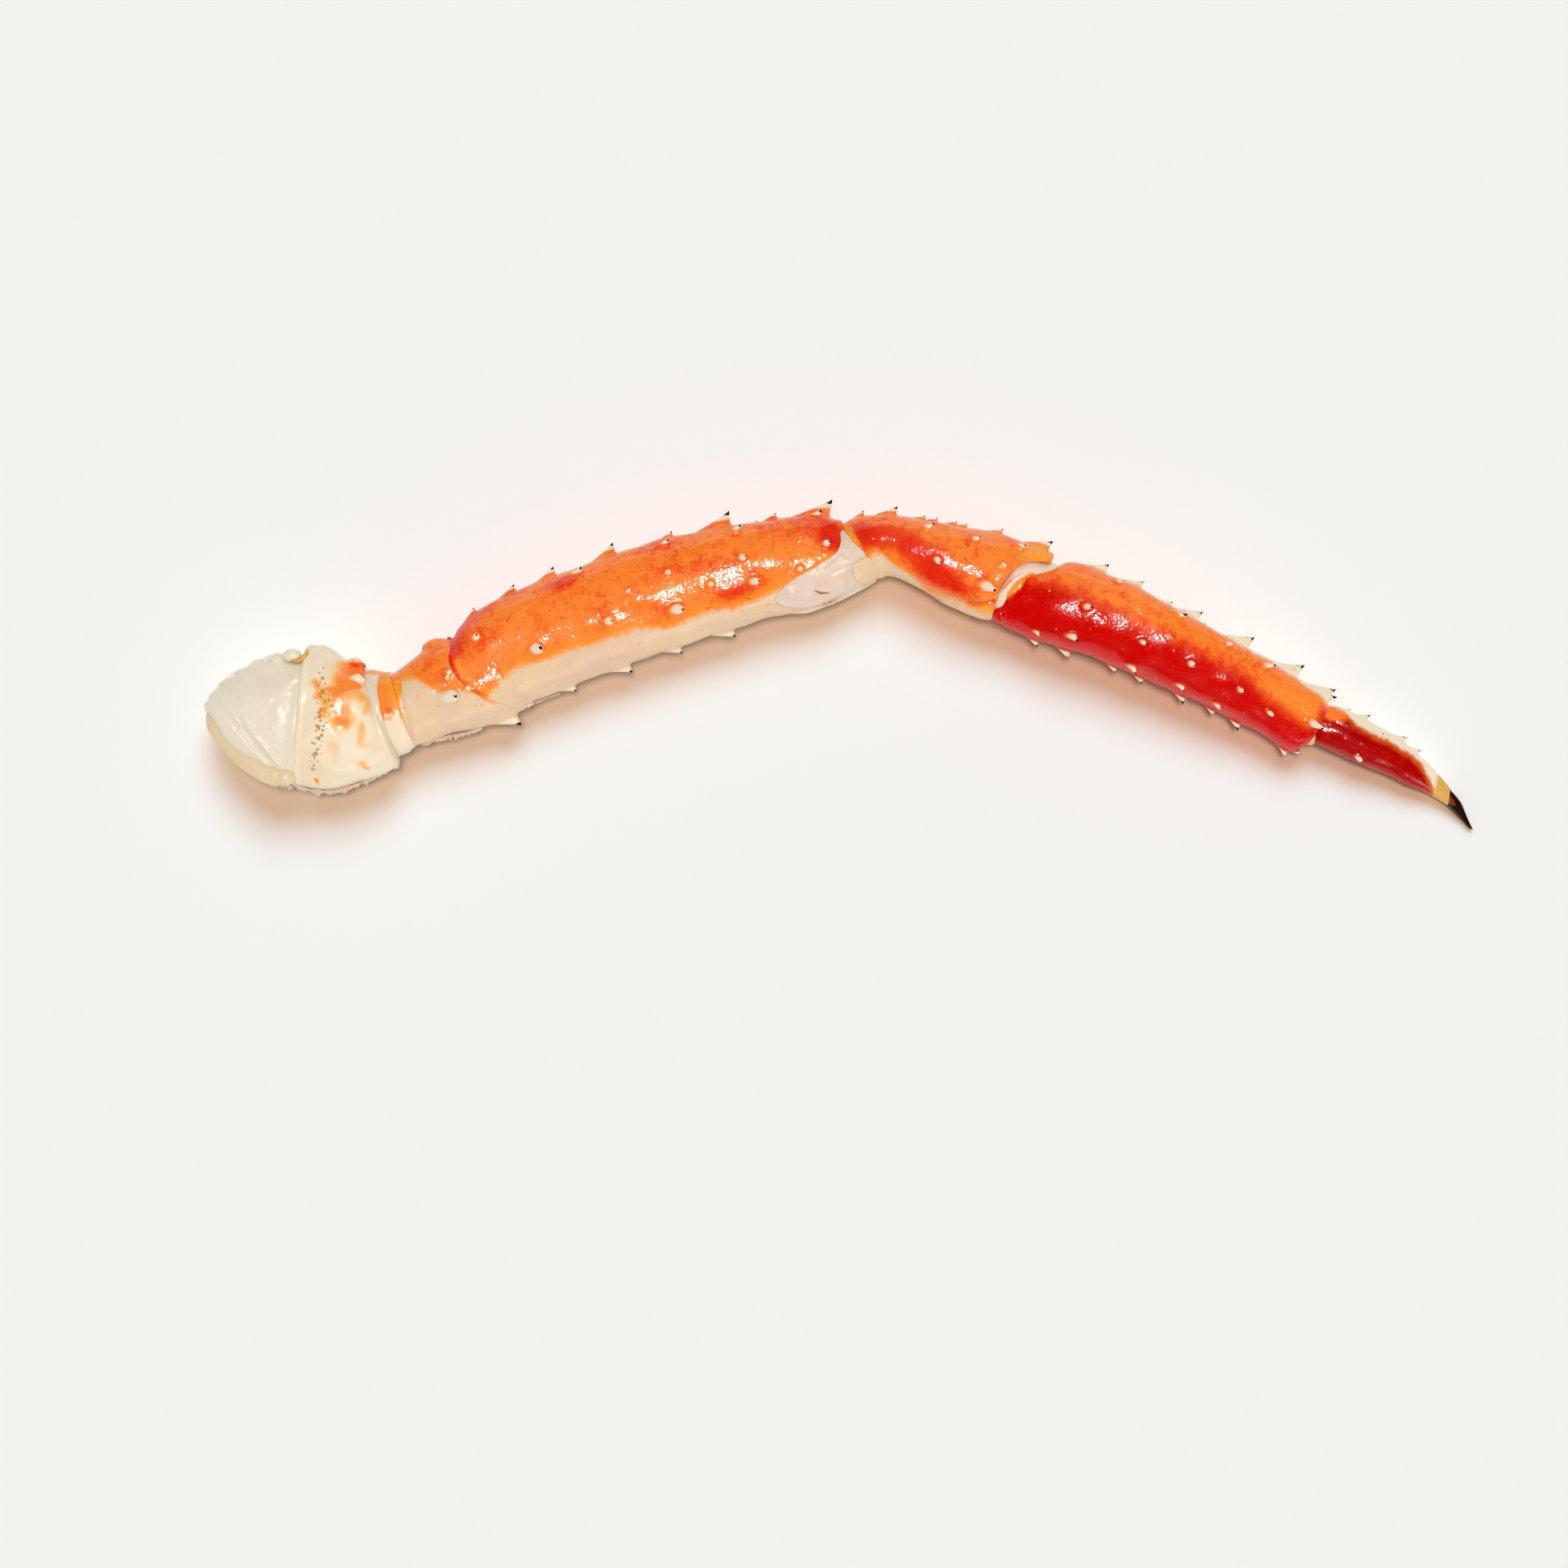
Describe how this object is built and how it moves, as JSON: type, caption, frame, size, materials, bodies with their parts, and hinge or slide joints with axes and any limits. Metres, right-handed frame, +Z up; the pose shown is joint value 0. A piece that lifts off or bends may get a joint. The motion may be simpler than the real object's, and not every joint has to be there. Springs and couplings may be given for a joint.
{
  "type": "king crab leg",
  "caption": "Cooked king crab leg lying on its side: bent in an arch, with spined orange and red shells, pale joint skins, a torn shoulder end and a dark claw tip.",
  "frame": {"origin": "on the table under the middle of the leg's bounding box", "axes": "+X from the torn shoulder towards the claw, +Y towards the outside of the bend, +Z up from the table"},
  "size_m": [0.4382, 0.1111, 0.0337],
  "materials": {
    "shell": "wet orange shell with cream spines and mottling",
    "shell_deep": "wet shell, deep red below and orange above, with cream spines",
    "bone": "smooth cream shell with orange patches",
    "membrane": "moist pinkish white skin",
    "flesh": "moist translucent white flesh under thin skin",
    "socket": "yellowish gristle"
  },
  "bodies": {
    "root": {"shoulder": "flesh", "shoulder_bar": "bone", "socket_pad": "socket", "coxa": "bone", "hip_membrane": "membrane", "basis": "bone", "ischium": "shell", "merus": "shell", "knee_membrane": "membrane", "knee_plate": "bone", "carpus": "shell", "wrist_membrane": "membrane", "propodus": "shell_deep", "claw_membrane": "membrane", "dactyl": "shell_deep"}
  },
  "joints": []
}
